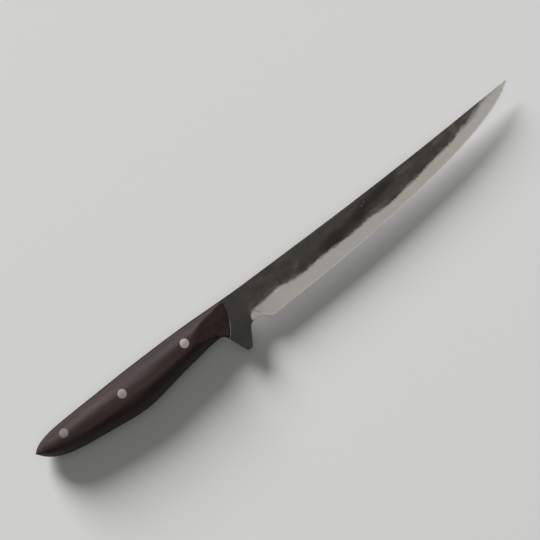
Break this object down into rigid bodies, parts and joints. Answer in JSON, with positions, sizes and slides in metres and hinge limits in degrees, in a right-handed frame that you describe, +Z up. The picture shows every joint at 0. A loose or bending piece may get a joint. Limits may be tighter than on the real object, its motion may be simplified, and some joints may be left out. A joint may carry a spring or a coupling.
{
  "type": "fillet knife",
  "caption": "Full-tang fillet knife: long narrow upswept blade with an integral finger guard, bevel ground along the edge, and pinned wooden handle scales.",
  "frame": {"origin": "on the table, under the middle of the whole knife's length and depth, with the knife lying on its left side", "axes": "+X from the butt to the tip along the blade's spine, +Y from the cutting edge to the spine, +Z up, square to the blade's side"},
  "size_m": [0.3182, 0.0334, 0.02],
  "materials": {
    "forged_steel": "black forge scale on the flats and guard, satin ground bevel",
    "dark_wood": "oiled dark red-brown hardwood, low sheen",
    "pin_steel": "satin"
  },
  "bodies": {
    "root": {"blade": "forged_steel", "right_scale": "dark_wood", "left_scale": "dark_wood", "front_pin": "pin_steel", "middle_pin": "pin_steel", "rear_pin": "pin_steel"}
  },
  "joints": []
}
